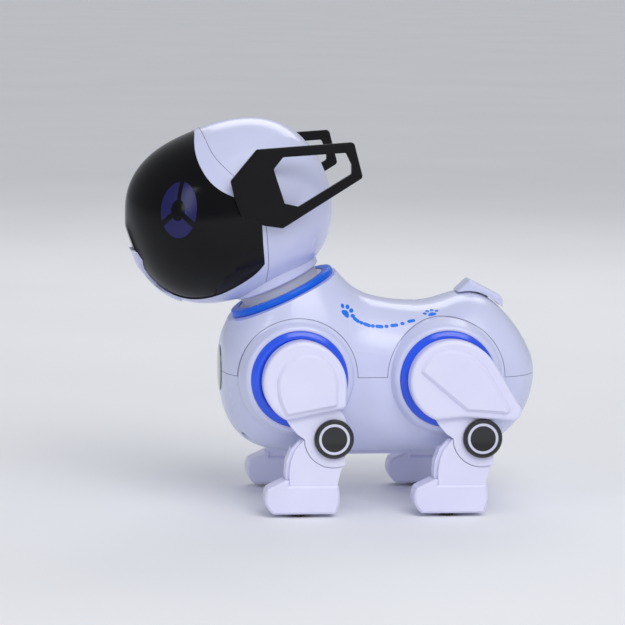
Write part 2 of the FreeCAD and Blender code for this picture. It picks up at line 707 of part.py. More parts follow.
def eye_light(head_at):
    """Light guide of the left eye: three lit segments joined by a plate behind the visor."""
    segments = head_at(-0.45).common(eye_segments(0)).cut(head_at(-3.4))
    plate_bar = Part.makeCylinder(15.2, 60, Vector(0, 0, -30))
    plate_bar.rotate(Vector(0, 0, 0), Vector(0, 1, 0), 90)
    plate_bar.rotate(Vector(0, 0, 0), Vector(0, 0, 1), EYE_AZIMUTH)
    plate_bar.translate(EYE)
    half_space = block(60, FAR, 10, FAR, 0, FAR + 50)
    back = head_at(-3.2).common(plate_bar).common(half_space).cut(head_at(-4.6))
    return segments.common(half_space).fuse(back)


def led_board():
    """Small board behind the left eye."""
    board = Part.makeBox(1.6, 22, 26, Vector(-16.0, -11, -13))
    lamp = Part.makeBox(2.0, 5, 5, Vector(-14.4, -2.5, -2.5))
    board = board.fuse(lamp)
    board.rotate(Vector(0, 0, 0), Vector(0, 0, 1), EYE_AZIMUTH)
    board.translate(EYE)
    return board


def ear_hub():
    """Stub that carries the left ear, with its pin."""
    hub = disc(EAR_PIVOT.x, EAR_PIVOT.z, 5.5, 43, EAR_IN_Y - 0.3)
    pin = disc(EAR_PIVOT.x, EAR_PIVOT.z, 3.0, EAR_IN_Y - 1, EAR_IN_Y + 2.2)
    return hub.fuse(pin)


def head_pieces(head_at):
    """Rear shell, front frame, visor and nose."""
    skin = head_at(0)
    lining = head_at(-WALL)
    shell = skin.cut(lining)
    neck_hole = on_neck(Part.makeCylinder(NECK_TUBE_R + SOCKET, 30, Vector(0, 0, 0)))
    hub_hole = disc(EAR_PIVOT.x, EAR_PIVOT.z, 5.5 + SOCKET, 30, 70)

    rear = shell.cut([frame_prism(-SEAM), neck_hole, hub_hole, mirrored(hub_hole)])

    frame = shell.common(frame_prism(0)).cut([visor_prism(), nose_prism(SOCKET), neck_hole])

    visor = head_at(-0.6).cut(head_at(-2.8)).common(drawn_in(visor_prism(), SOCKET))
    eyes = eye_segments(SOCKET).common(block(60, FAR, 10, FAR, 0, FAR + 50))
    visor = visor.cut([nose_prism(SOCKET), eyes, mirrored(eyes)])

    nose = head_at(1.0).common(nose_prism(0)).cut(head_at(-WALL))
    return rear, frame, visor, nose


EAR_OUTLINE = ((86.8, 197.1), (71.9, 215.5), (15.5, 220.1), (9.9, 199.6), (56.1, 170.0), (67.2, 171.5),
               (80.0, 176.1), (84.2, 186.5))
EAR_WINDOW = ((56.7, 211.2), (62.1, 204.2), (55.3, 184.3), (47.2, 182.6), (16.6, 201.7), (16.7, 207.1),
              (20.1, 214.0))


def polygon_bar(points, y_low, y_high, corner_r):
    """Plate along Y with rounded corners."""
    wire = Part.makePolygon([Vector(x, y_low, z) for x, z in points + points[:1]])
    bar = Part.Face(wire).extrude(Vector(0, y_high - y_low, 0))
    upright = [e for e in bar.Edges if e.BoundBox.YLength > 0.5 * (y_high - y_low)]
    return bar.makeFillet(corner_r, upright)


def ear():
    """Left ear: a flat frame round a long window, with a blind bore for its pivot pin."""
    blade = polygon_bar(EAR_OUTLINE, EAR_IN_Y, EAR_IN_Y + EAR_THICK, 2.2)
    blade = blade.makeChamfer(0.8, rim_edges(blade, EAR_IN_Y + EAR_THICK))
    window = polygon_bar(EAR_WINDOW, EAR_IN_Y - 2, EAR_IN_Y + EAR_THICK + 2, 1.4)
    bore = disc(EAR_PIVOT.x, EAR_PIVOT.z, 3.0 + RUNNING, EAR_IN_Y - 1, EAR_IN_Y + 2.4)
    return blade.cut([window, bore])


# ------------------------------------------------------------------ tail and switch
def tail(body_at):
    """Stub tail on its pivot post."""
    wire = outline((-58.5, 112), [(-55.4, 127.6), (-63.2, 134.8), (-81.6, 125.4), (-83.4, 122.4), (-83.6, 108),
                                  (-58.5, 112)])
    stub = plate(wire, -TAIL_HALF_Y, TAIL_HALF_Y)
    across = [e for e in stub.Edges if e.BoundBox.YLength > TAIL_HALF_Y and e.CenterOfMass.z > 121]
    stub = stub.makeFillet(1.6, across)
    rims = rim_edges(stub, TAIL_HALF_Y) + rim_edges(stub, -TAIL_HALF_Y)
    stub = stub.makeFillet(2.4, [e for e in rims if e.CenterOfMass.z > 118])
    return stub.cut(body_at(-1.0)).fuse(tail_post(TAIL_POST_R, 9, 4))


def power_switch():
    """Slide switch knob in the belly slot, with its guide plate inside."""
    knob = block(SWITCH_X - 3.2, SWITCH_X + 3.2, -2.0, 2.0, 31.0, 36.5)
    ribs = [block(SWITCH_X + x - 0.4, SWITCH_X + x + 0.4, -2.1, 2.1, 30.4, 31.2) for x in (-2, 0, 2)]
    guide = block(SWITCH_X - 6, SWITCH_X + 6, -4, 4, 36.5, 38.0)
    return knob.multiFuse(ribs + [guide])


# ------------------------------------------------------------------ legs, drawn about the left shoulder axis
def front_cover_outline():
    """Round above, square behind, with a sloping lower edge."""
    return outline((8.8, -22.3), [((22.6, 0.0), (0.0, 24.0)), ((-19.2, 15.4), (-26.2, -5.0)), (-26.2, -12.4),
                                  ((-25.6, -14.6), (-23.4, -15.9)), (8.8, -22.3)])


def front_panel_outline():
    """Arch-shaped panel on the front cover."""
    return outline((9.0, -19.6), [((13.32, -10.84), (14.8, -1.2)), ((-3.0, 16.6), (-20.8, -1.2)),
                                  (-20.8, -12.0), ((-20.35, -13.7), (-18.9, -14.5)), (9.0, -19.6)])


def rear_cover_outline():
    """Round in front, drawn out downwards and backwards over the thigh."""
    return outline((8.8, -22.6), [((24.3, 0.0), (0.0, 24.3)), ((-15.4, 20.4), (-26.0, 9.7)), (-40.4, -13.6),
                                  ((-41.6, -20.2), (-36.4, -23.2)), (-8.0, -21.0), (8.8, -22.6)])


def rear_panel_outline():
    """Panel on the rear cover: its lower front edge slopes towards the knee."""
    return outline((18.6, 6.0), [((12.5, 15.2), (2.0, 19.0)), ((-12.0, 15.6), (-21.5, 6.4)), (-34.0, -14.0),
                                 ((-34.4, -17.8), (-30.6, -18.6)), (-9.0, -17.0), (18.6, 6.0)])


def leg_cover(cover_wire, panel_wire, arm_room):
    """Thick cap over the top of a leg, with a bevelled panel. Hollow behind, over the arm."""
    cap = plate(cover_wire, COVER_IN_Y, COVER_OUT_Y)
    cap = cap.makeFillet(2.4, rim_edges(cap, COVER_OUT_Y))
    panel = plate(panel_wire, COVER_OUT_Y - 3, PANEL_OUT_Y)
    panel = panel.makeChamfer(1.6, rim_edges(panel, PANEL_OUT_Y))
    pocket = plate(panel_wire, ARM_OUT_Y - 1, COVER_OUT_Y - 1.4)
    return cap.fuse(panel).cut([arm_room, pocket])


ARM_LEFT = ((8.8, -22.2), (6.0, -26.5), (2.0, -31.0))
KNUCKLE_R = 17.1                    # lower end of the arm, round the elbow
KNUCKLE_GAP = 0.35
ARM_BACK_X = -26.4
HUB_R = 21.0


def arm_outline():
    """Arm from the hub down to its round end at the elbow."""
    notch = (ELBOW_X + KNUCKLE_R, ELBOW_Z - 0.4)
    reach = math.sqrt(KNUCKLE_R ** 2 - (ARM_BACK_X - ELBOW_X) ** 2)
    return outline((9.5, -8.0), [*ARM_LEFT, notch, ((ELBOW_X, ELBOW_Z - KNUCKLE_R), (ARM_BACK_X, ELBOW_Z - reach)),
                                 (ARM_BACK_X, -22.9), (-25.0, -19.9), (-20.5, -13.5), (-14.0, 4.0), (9.5, -8.0)])


def upper_leg():
    """Hub that turns in the body's opening, and the arm that carries the elbow."""
    hub = turned(((0, 41.0), (HUB_R - 1, 41.0), (HUB_R, 42.0), (HUB_R, ARM_IN_Y + 1.2), (0, ARM_IN_Y + 1.2)))
    hollow = turned(((7.0, 43.5), (HUB_R - 2.5, 43.5), (HUB_R - 2.5, ARM_IN_Y - 1.5), (7.0, ARM_IN_Y - 1.5)))
    arm = plate(arm_outline(), ARM_IN_Y, ARM_OUT_Y)
    bore = disc(0, 0, SHAFT_R, 40, 52)
    pin_hole = disc(ELBOW_X, ELBOW_Z, PIN_R, 50, 60)
    return hub.cut(hollow).fuse(arm).cut([bore, pin_hole])


def arm_room():
    """Space that the arm and hub take up behind the cover."""
    arm = plate(arm_outline(), COVER_IN_Y - 1, ARM_OUT_Y)
    hub = disc(0, 0, HUB_R, COVER_IN_Y - 1, ARM_IN_Y + 1.2)
    return hub.fuse(arm)


def drive_shaft():
    """Steel shaft from the gearbox into the hub."""
    return disc(0, 0, SHAFT_R, SHAFT_IN_Y + 0.5, 50.5)


def elbow_disc():
    """Elbow cap with its snap pin and a shallow ring groove."""
    profile = ((0, 46.6), (PIN_R + 0.9, 46.6), (PIN_R + 0.9, 47.6), (PIN_R, 47.7), (PIN_R, ARM_OUT_Y),
               (DISC_R, ARM_OUT_Y), (DISC_R, DISC_OUT_Y - 0.6), (DISC_R - 0.6, DISC_OUT_Y), (9.1, DISC_OUT_Y),
               (9.1, DISC_OUT_Y - 0.5), (7.5, DISC_OUT_Y - 0.5), (7.5, DISC_OUT_Y), (0, DISC_OUT_Y))
    return turned(profile, ELBOW_X, ELBOW_Z)


FOOT_TOP_Z = 19.0 - AXIS_Z          # seam between lower leg and foot
TONGUE_R = 11.5
TONGUE_OUT_Y = 53.4
TONGUE_IN_Y = 50.2
LEG_IN_Y = 44.0
PAW_CLEAR_R = 40.0                  # thick part of the lower leg keeps this far from the shoulder axis


def leg_front_edge(ahead):
    """Front edge of the lower leg, from the elbow to the foot."""
    return ((-2.0 + ahead, -34.4), (3.3 + ahead, -40.6), (5.7 + ahead, -47.3), (6.4 + ahead, -53.9),
            (6.2 + ahead, FOOT_TOP_Z))


LEG_BACK_EDGE = ((-22.4, -59.3), (-23.5, -54.6), (-25.3, -48.9), (-26.2, -44.1))


def foot_peg(grow):
    """Peg under the lower leg that the foot is pushed onto, behind the wheel."""
    return block(-15.5 - grow, -7.5 + grow, 47.5 - grow, 53.2 + grow, FOOT_TOP_Z - 5 - grow, FOOT_TOP_Z + 1)


def lower_leg():
    """Lower leg: a tongue inside the arm, and a thick shin below it with a step along its front edge."""
    front = list(leg_front_edge(0))
    back = list(LEG_BACK_EDGE)
    shin = outline(front[0], front[1:] + [(-22.0, FOOT_TOP_Z)] + back + [(-26.2, -38.0), front[0]])
    pad_layer = plate(shin, TONGUE_OUT_Y - 0.2, ARM_OUT_Y)
    pad_layer = pad_layer.cut(disc(ELBOW_X, ELBOW_Z, KNUCKLE_R + KNUCKLE_GAP, 40, 70))

    step = list(leg_front_edge(2.0))
    inner = outline(step[0], step[1:] + [(-22.0, FOOT_TOP_Z)] + back + [(-26.2, -38.0), step[0]])
    web = plate(inner, TONGUE_IN_Y, TONGUE_OUT_Y).fuse(disc(ELBOW_X, ELBOW_Z, TONGUE_R, TONGUE_IN_Y, TONGUE_OUT_Y))
    thick = plate(inner, LEG_IN_Y, TONGUE_IN_Y).cut(disc(0, 0, PAW_CLEAR_R, 30, 70))
    boss = disc(ELBOW_X, ELBOW_Z, 7.0, 47.9, TONGUE_IN_Y)
    leg = web.multiFuse([pad_layer, thick, boss, foot_peg(0)])
    pin_room = disc(ELBOW_X, ELBOW_Z, PIN_R + 1.4, 40, 47.9)
    return leg.cut([disc(ELBOW_X, ELBOW_Z, PIN_R + RUNNING, 40, 70), pin_room])


WHEEL_X = 0.0                       # wheel axle, under the shoulder axis
WHEEL_Z = WHEEL_R - AXIS_Z
WHEEL_Y = 50.4
FOOT_IN_Y = 42.4
FOOT_OUT_Y = 58.4
SOLE_Z = 2.2 - AXIS_Z


def foot():
    """Paw shell over the wheel, with three toes."""
    floor = SOLE_Z
    wire = outline((-22.4, FOOT_TOP_Z), [((-23.4, FOOT_TOP_Z - 8), (-21.0, floor)), (15.5, floor),
                                         ((19.4, floor + 4.5), (18.9, floor + 15.0)), (8.6, FOOT_TOP_Z + 3.2),
                                         (6.4, FOOT_TOP_Z + 3.2), (6.4, FOOT_TOP_Z), (-22.4, FOOT_TOP_Z)])
    paw = plate(wire, FOOT_IN_Y, FOOT_OUT_Y)
    paw = paw.makeChamfer(1.2, rim_edges(paw, FOOT_OUT_Y) + rim_edges(paw, FOOT_IN_Y))
    grooves = []
    for y in (WHEEL_Y - 2.7, WHEEL_Y + 2.7):
        wedge = Part.Face(Part.makePolygon([Vector(26, y - 0.9, floor - 2), Vector(26, y + 0.9, floor - 2),
                                            Vector(13.5, y, floor - 2), Vector(26, y - 0.9, floor - 2)]))
        grooves.append(wedge.extrude(Vector(0, 0, 40)))
    room = disc(WHEEL_X, WHEEL_Z, WHEEL_R + 1.2, WHEEL_Y - WHEEL_WIDTH / 2 - 0.6, WHEEL_Y + WHEEL_WIDTH / 2 + 0.6)
    axle_hole = disc(WHEEL_X, WHEEL_Z, 1.5 + RUNNING, WHEEL_Y - 6.6, WHEEL_Y + 6.6)
    step_room = block(6.0, 8.6, LEG_IN_Y - SOCKET, TONGUE_OUT_Y + SOCKET, FOOT_TOP_Z, FOOT_TOP_Z + 10)
    return paw.cut(grooves + [room, axle_hole, foot_peg(SOCKET), step_room])


def wheel():
    """Foot wheel with its axle stubs."""
    y = WHEEL_Y
    half = WHEEL_WIDTH / 2
    tyre = turned(((0, y - half), (WHEEL_R - 0.8, y - half), (WHEEL_R, y - half + 0.8), (WHEEL_R, y + half - 0.8),
                   (WHEEL_R - 0.8, y + half), (0, y + half)), WHEEL_X, WHEEL_Z)
    dishes = [turned(((2.6, y + side * half), (6.0, y + side * half), (6.0, y + side * (half - 1.2)),
                      (2.6, y + side * (half - 1.2))), WHEEL_X, WHEEL_Z) for side in (LEFT, RIGHT)]
    axle = disc(WHEEL_X, WHEEL_Z, 1.5, y - 6.4, y + 6.4)
    return tyre.cut(dishes).fuse(axle)


def place_leg(shape, end, side):
    """Move a piece drawn about the left shoulder axis to one of the four legs."""
    placed = shape.copy()
    placed.translate(Vector(end * SHOULDER_X, 0, AXIS_Z))
    return placed if side == LEFT else mirrored(placed)


# ------------------------------------------------------------------ build
os.makedirs("parts", exist_ok=True)

forms = {}


def body_at(inset):
    """Body form, kept for reuse."""
    if ("body", inset) not in forms:
        forms["body", inset] = body_form(inset)
    return forms["body", inset]


def head_at(grow):
    """Head form, kept for reuse."""
    if ("head", grow) not in forms:
        forms["head", grow] = head_form(grow)
    return forms["head", grow]


lower_shell, upper_shell = body_shells(body_at(0), body_at(WALL))
save("body_lower_shell", lower_shell)
save("body_upper_shell", upper_shell)
rings = [leg_ring(x) for x in leg_openings()]
save("leg_rings", *(rings + [mirrored(ring) for ring in rings]))
save("collar_ring", collar_ring())
save("chest_lens", chest_lens(body_at))
save("battery_door", battery_door())
save("battery_cells", *battery_cells())
save("battery_tray", battery_tray())
save("main_board", main_board())
save("speaker", speaker())
save("charge_socket", charge_socket())
save("body_screws", *body_screws())
save("front_drive", leg_drive(SHOULDER_X))
save("rear_drive", leg_drive(-SHOULDER_X))
save("neck_motor", neck_motor())
save("neck_bearing", neck_bearing())
save("neck_pinion", neck_pinion())
save("tail", tail(body_at))
save("power_switch", power_switch())

head_shell, face_frame, visor, nose = head_pieces(head_at)
save("head_shell", head_shell)
save("face_frame", face_frame)
save("visor", visor)
save("nose", nose)
left_eye = eye_light(head_at)
save("eye_left", left_eye)
save("eye_right", mirrored(left_eye))
save("led_boards", led_board(), mirrored(led_board()))
save("neck_tube", neck_tube())
save("head_base_ring", head_base_ring(head_at(0)))
save("ear_hubs", ear_hub(), mirrored(ear_hub()))
save("ear_left", ear())
save("ear_right", mirrored(ear()))

LEG_NAMES = (("front_left", FRONT, LEFT), ("front_right", FRONT, RIGHT),
             ("rear_left", REAR, LEFT), ("rear_right", REAR, RIGHT))
covers = {FRONT: leg_cover(front_cover_outline(), front_panel_outline(), arm_room()),
          REAR: leg_cover(rear_cover_outline(), rear_panel_outline(), arm_room())}
shared = {"upper_leg": upper_leg(), "drive_shaft": drive_shaft(), "elbow_disc": elbow_disc(),
          "lower_leg": lower_leg(), "foot": foot(), "wheel": wheel()}
for name, end, side in LEG_NAMES:
    save("leg_cover_" + name, place_leg(covers[end], end, side))
    for piece, shape in shared.items():
        save(piece + "_" + name, place_leg(shape, end, side))
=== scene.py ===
import json
import math

import bmesh
import bpy
from mathutils import Matrix, Vector
from mathutils.bvhtree import BVHTree


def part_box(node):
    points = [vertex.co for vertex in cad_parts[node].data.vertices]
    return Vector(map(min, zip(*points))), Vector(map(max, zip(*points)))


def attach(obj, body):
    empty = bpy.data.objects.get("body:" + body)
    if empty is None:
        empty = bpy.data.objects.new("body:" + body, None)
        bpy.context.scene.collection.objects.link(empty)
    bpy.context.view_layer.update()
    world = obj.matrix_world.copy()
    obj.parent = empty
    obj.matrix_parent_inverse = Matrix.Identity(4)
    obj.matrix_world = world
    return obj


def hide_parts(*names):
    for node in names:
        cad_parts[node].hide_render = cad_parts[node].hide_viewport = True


# Looks of a toy robot dog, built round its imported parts. Metres, +X to the nose, +Y to its left, +Z up.

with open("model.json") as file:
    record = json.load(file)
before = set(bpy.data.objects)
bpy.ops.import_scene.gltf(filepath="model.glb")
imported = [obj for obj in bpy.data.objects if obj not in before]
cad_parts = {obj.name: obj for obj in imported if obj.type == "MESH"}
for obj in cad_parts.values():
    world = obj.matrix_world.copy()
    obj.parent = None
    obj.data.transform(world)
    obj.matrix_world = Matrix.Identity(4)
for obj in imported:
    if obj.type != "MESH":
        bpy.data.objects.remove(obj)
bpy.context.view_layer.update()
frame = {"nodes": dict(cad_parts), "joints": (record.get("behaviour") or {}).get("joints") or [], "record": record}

MM = 0.001
LEGS = ("front_left", "front_right", "rear_left", "rear_right")
SIDES = {"left": 1, "right": -1}

record = frame["record"]
nodes = frame["nodes"]
joint_places = {joint["name"]: Vector(joint["pos_m"]) for joint in frame["joints"] if "pos_m" in joint}
shoulder = joint_places["shoulder_left"]
hip = joint_places["hip_left"]
middle_x = (shoulder.x + hip.x) / 2
axis_z = shoulder.z


def side_of(leg):
    """+1 for a left leg and -1 for a right one."""
    return SIDES[leg.split("_")[1]]


# ---------------------------------------------------------------- material helpers
class Recipe:
    """A Principled material with object-space noise to draw on."""

    def __init__(self, name, colour, roughness):
        self.material = bpy.data.materials.new(name)
        self.material.use_nodes = True
        self.tree = self.material.node_tree
        self.shader = self.tree.nodes["Principled BSDF"]
        self.shader.inputs["Base Color"].default_value = (*colour, 1)
        self.shader.inputs["Roughness"].default_value = roughness
        self.place = self.tree.nodes.new("ShaderNodeTexCoord").outputs["Object"]

    def add(self, kind, **values):
        """A node with its plain settings and its input values."""
        node = self.tree.nodes.new(kind)
        for key, value in values.items():
            if hasattr(node, key):
                setattr(node, key, value)
            else:
                node.inputs[key.replace("_", " ")].default_value = value
        return node

    def link(self, source, target):
        self.tree.links.new(source, target)

    def noise(self, scale, detail=3.0, roughness=0.55, stretch=None):
        """Noise of about 1/scale metres, drawn out along an axis if asked."""
        place = self.place
        if stretch:
            mapping = self.add("ShaderNodeMapping", Scale=stretch)
            self.link(place, mapping.inputs["Vector"])
            place = mapping.outputs["Vector"]
        node = self.add("ShaderNodeTexNoise", Scale=scale, Detail=detail, Roughness=roughness)
        self.link(place, node.inputs["Vector"])
        return node.outputs["Fac"]

    def spread(self, value, low, high, from_low=0.3, from_high=0.7):
        """A 0 to 1 value spread over a range."""
        node = self.add("ShaderNodeMapRange")
        settings = {"From Min": from_low, "From Max": from_high, "To Min": low, "To Max": high}
        for socket, number in settings.items():
            node.inputs[socket].default_value = number
        self.link(value, node.inputs["Value"])
        return node.outputs["Result"]

    def vary_colour(self, value, dark, light):
        """Base colour between two tones."""
        mix = self.add("ShaderNodeMix", data_type="RGBA")
        mix.inputs[6].default_value = (*dark, 1)
        mix.inputs[7].default_value = (*light, 1)
        self.link(self.spread(value, 0.0, 1.0), mix.inputs["Factor"])
        self.link(mix.outputs[2], self.shader.inputs["Base Color"])
        return mix

    def vary_roughness(self, value, low, high):
        self.link(self.spread(value, low, high), self.shader.inputs["Roughness"])

    def relief(self, height, depth, edge=0.0):
        """Bump of the given depth in metres, over softly rounded edges."""
        bump = self.add("ShaderNodeBump", Strength=1.0, Distance=depth)
        self.link(height, bump.inputs["Height"])
        if edge:
            bevel = self.add("ShaderNodeBevel", samples=4, Radius=edge)
            self.link(bevel.outputs["Normal"], bump.inputs["Normal"])
        self.link(bump.outputs["Normal"], self.shader.inputs["Normal"])

    def set(self, **values):
        for key, value in values.items():
            self.shader.inputs[key.replace("_", " ")].default_value = value


TONE_SCALE = 22.0                       # noise features per metre: tone, smudges, orange peel
SMUDGE_SCALE = 75.0
GRAIN_SCALE = 900.0


def moulded(name, dark, light, rough_low, rough_high, grain=0.02 * MM, edge=0.35 * MM, coat=0.0,
            smudges=SMUDGE_SCALE):
    """Injection-moulded plastic: cloudy tone, handling smudges, fine orange peel and rounded edges."""
    recipe = Recipe(name, light, rough_low)
    recipe.vary_colour(recipe.noise(TONE_SCALE, 2.0), dark, light)
    recipe.vary_roughness(recipe.noise(smudges, 3.0), rough_low, rough_high)
    recipe.relief(recipe.noise(GRAIN_SCALE, 2.0), grain, edge)
    recipe.set(IOR=1.5, Coat_Weight=coat, Coat_Roughness=0.08)
    return recipe


# ---------------------------------------------------------------- materials, one function each
def white_shell():
    recipe = moulded("white_shell", (0.60, 0.63, 0.86), (0.65, 0.68, 0.92), 0.23, 0.28,
                     grain=0.008 * MM, coat=0.25, smudges=30.0)
    return recipe.material


def white_leg():
    recipe = moulded("white_leg", (0.74, 0.74, 0.96), (0.79, 0.79, 0.99), 0.30, 0.38, grain=0.01 * MM)
    return recipe.material


def pale_neck():
    recipe = moulded("pale_neck", (0.44, 0.45, 0.56), (0.52, 0.53, 0.63), 0.45, 0.60, grain=0.04 * MM)
    return recipe.material


def white_nylon():
    recipe = moulded("white_nylon", (0.70, 0.70, 0.66), (0.78, 0.78, 0.74), 0.45, 0.60)
    return recipe.material


def blue_ring():
    recipe = moulded("blue_ring", (0.012, 0.080, 0.76), (0.018, 0.105, 0.90), 0.14, 0.18,
                     grain=0.005 * MM, coat=0.15)
    return recipe.material


def blue_collar():
    recipe = moulded("blue_collar", (0.0, 0.115, 0.70), (0.001, 0.14, 0.82), 0.26, 0.34, grain=0.01 * MM)
    recipe.set(Specular_IOR_Level=0.3)
    return recipe.material


def black_gloss():
    recipe = moulded("black_gloss", (0.004, 0.004, 0.005), (0.008, 0.008, 0.010), 0.06, 0.14, coat=0.5)
    return recipe.material


def smoked_visor():
    """Polished smoked plastic with faint wipe marks."""
    recipe = Recipe("smoked_visor", (0.002, 0.002, 0.003), 0.06)
    recipe.vary_colour(recipe.noise(18.0, 2.0), (0.001, 0.001, 0.002), (0.002, 0.002, 0.003))
    recipe.vary_roughness(recipe.noise(40.0, 3.0, 0.6, (1, 1, 4)), 0.11, 0.14)
    recipe.set(IOR=1.30)
    return recipe.material


def blue_light():
    """Frosted light guide of an unlit eye, deep indigo, with a fine grid of diffuser cells; its emission is a
    painted glow.
    """
    recipe = Recipe("blue_light", (0.006, 0.006, 0.075), 0.25)
    cells = recipe.add("ShaderNodeTexVoronoi", Scale=1100.0)
    recipe.link(recipe.place, cells.inputs["Vector"])
    recipe.vary_colour(recipe.noise(60.0, 1.0), (0.003, 0.003, 0.040), (0.005, 0.005, 0.055))
    # Painted glow: the unlit guide emits a dim indigo light, a little brighter in the middle of each cell.
    painted_glow = recipe.spread(cells.outputs["Distance"], 0.22, 0.16, 0.1, 0.7)
    recipe.link(painted_glow, recipe.shader.inputs["Emission Strength"])
    recipe.shader.inputs["Emission Color"].default_value = (0.012, 0.009, 0.20, 1)
    recipe.relief(cells.outputs["Distance"], 0.01 * MM)
    recipe.set(IOR=1.42)
    return recipe.material


def black_matte():
    recipe = moulded("black_matte", (0.002, 0.002, 0.003), (0.004, 0.004, 0.005), 0.42, 0.52,
                     grain=0.02 * MM, edge=0.3 * MM)
    recipe.set(Specular_IOR_Level=0.2)
    return recipe.material


def black_satin():
    recipe = moulded("black_satin", (0.007, 0.007, 0.009), (0.016, 0.016, 0.018), 0.24, 0.36, coat=0.3)
    return recipe.material


def cell_wrap():
    recipe = moulded("cell_wrap", (0.05, 0.22, 0.09), (0.08, 0.28, 0.12), 0.25, 0.40)
    return recipe.material


def circuit_board():
    recipe = moulded("circuit_board", (0.012, 0.10, 0.045), (0.020, 0.15, 0.07), 0.30, 0.45)
    return recipe.material


def grey_gearbox():
    recipe = moulded("grey_gearbox", (0.16, 0.165, 0.175), (0.22, 0.225, 0.235), 0.45, 0.60,
                     grain=0.06 * MM)
    return recipe.material


def steel():
    """Turned steel with fine lines round its axis."""
    recipe = Recipe("steel", (0.60, 0.60, 0.62), 0.3)
    recipe.vary_colour(recipe.noise(300.0, 3.0), (0.52, 0.52, 0.54), (0.64, 0.64, 0.66))
    recipe.vary_roughness(recipe.noise(900.0, 4.0, 0.6, (1, 8, 1)), 0.22, 0.40)
    recipe.relief(recipe.noise(1800.0, 2.0, 0.5, (1, 8, 1)), 0.01 * MM, 0.2 * MM)
    recipe.set(Metallic=1.0)
    return recipe.material


def rubber_wheel():
    recipe = moulded("rubber_wheel", (0.016, 0.016, 0.018), (0.028, 0.028, 0.030), 0.55, 0.75,
                     grain=0.06 * MM)
    return recipe.material


def blue_print():
    """Pad-printed ink: flat blue with a slightly uneven film."""
    recipe = Recipe("blue_print", (0.0, 0.17, 0.85), 0.4)
    recipe.vary_colour(recipe.noise(500.0, 3.0), (0.0, 0.15, 0.78), (0.0, 0.21, 0.92))
    recipe.vary_roughness(recipe.noise(800.0, 3.0), 0.30, 0.45)
    recipe.relief(recipe.noise(1500.0, 2.0), 0.01 * MM)
    return recipe.material


def white_inlay():
    recipe = moulded("white_inlay", (0.62, 0.63, 0.78), (0.72, 0.73, 0.88), 0.25, 0.35)
    return recipe.material


def paper_floor():
    """Pale studio floor with a soft mottle."""
    recipe = Recipe("paper_floor", (0.90, 0.91, 0.94), 0.8)
    recipe.vary_colour(recipe.noise(3.0, 2.0), (0.88, 0.89, 0.92), (0.91, 0.92, 0.95))
    recipe.relief(recipe.noise(400.0, 2.0), 0.05 * MM)
    return recipe.material


SLOT_MATERIALS = {
    make.__name__: make() for make in (
        white_shell, white_leg, pale_neck, white_nylon, blue_ring, blue_collar, black_gloss, smoked_visor,
        blue_light, black_matte, black_satin, cell_wrap, circuit_board, grey_gearbox, steel, rubber_wheel)
}
PRINT_INK = blue_print()
INLAY = white_inlay()

for subpart in record["subparts"]:
    mesh = nodes[subpart["node"]].data
    mesh.materials.clear()
    mesh.materials.append(SLOT_MATERIALS[subpart["material_slot"]])


# ---------------------------------------------------------------- mesh helpers
def new_object(name, mesh_data, material, body):
    """Finish a bmesh as a shaded piece that rides on a body."""
    bmesh.ops.recalc_face_normals(mesh_data, faces=mesh_data.faces)
    mesh = bpy.data.meshes.new(name)
    mesh_data.to_mesh(mesh)
    mesh_data.free()
    mesh.materials.append(material)
    mesh.shade_smooth()
    piece = bpy.data.objects.new(name, mesh)
    bpy.context.scene.collection.objects.link(piece)
    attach(piece, body)
    return piece


def lathe(work, profile, centre, side, turns=96):
    """Turn a closed profile of (radius, height) about an axis along Y through the centre."""
    rings = []
    for k in range(turns):
        angle = 2 * math.pi * k / turns
        ring = []
        for radius, height in profile:
            offset = Vector((radius * math.cos(angle), side * height, radius * math.sin(angle)))
            ring.append(work.verts.new(centre + offset))
        rings.append(ring)
    count = len(profile)
    for k in range(turns):
        here = rings[k]
        there = rings[(k + 1) % turns]
        for i in range(count):
            j = (i + 1) % count
            work.faces.new((here[i], here[j], there[j], there[i]))
    bmesh.ops.remove_doubles(work, verts=work.verts, dist=1e-7)


def rounded(points, radius, steps=4):
    """The same closed profile with its corners rounded."""
    smooth = []
    count = len(points)
    for k in range(count):
        before = Vector(points[k - 1])
        here = Vector(points[k])
        after = Vector(points[(k + 1) % count])
        back = before - here
        ahead = after - here
        reach = min(radius, 0.45 * back.length, 0.45 * ahead.length)
        start = here + back.normalized() * reach
        end = here + ahead.normalized() * reach
        for step in range(steps + 1):
            t = step / steps
            smooth.append(tuple(start * (1 - t) ** 2 + here * 2 * t * (1 - t) + end * t ** 2))
    return smooth


# ---------------------------------------------------------------- elbow caps
ELBOW_PIN_R = 3.5 * MM
PIN_BEAD = 0.9 * MM                     # how far the snap bead stands out from the pin
BEAD_WIDTH = 1.0 * MM
CAP_THICK = 3.2 * MM
CAP_EDGE = 0.9 * MM                     # chamfer round the cap
INLAY_OUT = 9.1 * MM                    # outer and inner radius of the white ring
INLAY_IN = 7.5 * MM
INLAY_DEPTH = 0.6 * MM
RIM_DROP = 0.15 * MM                    # the rim falls slightly towards the ring
DISH_START = 0.25 * MM
DISH_DEPTH = 0.9 * MM
DISH_STEPS = 6


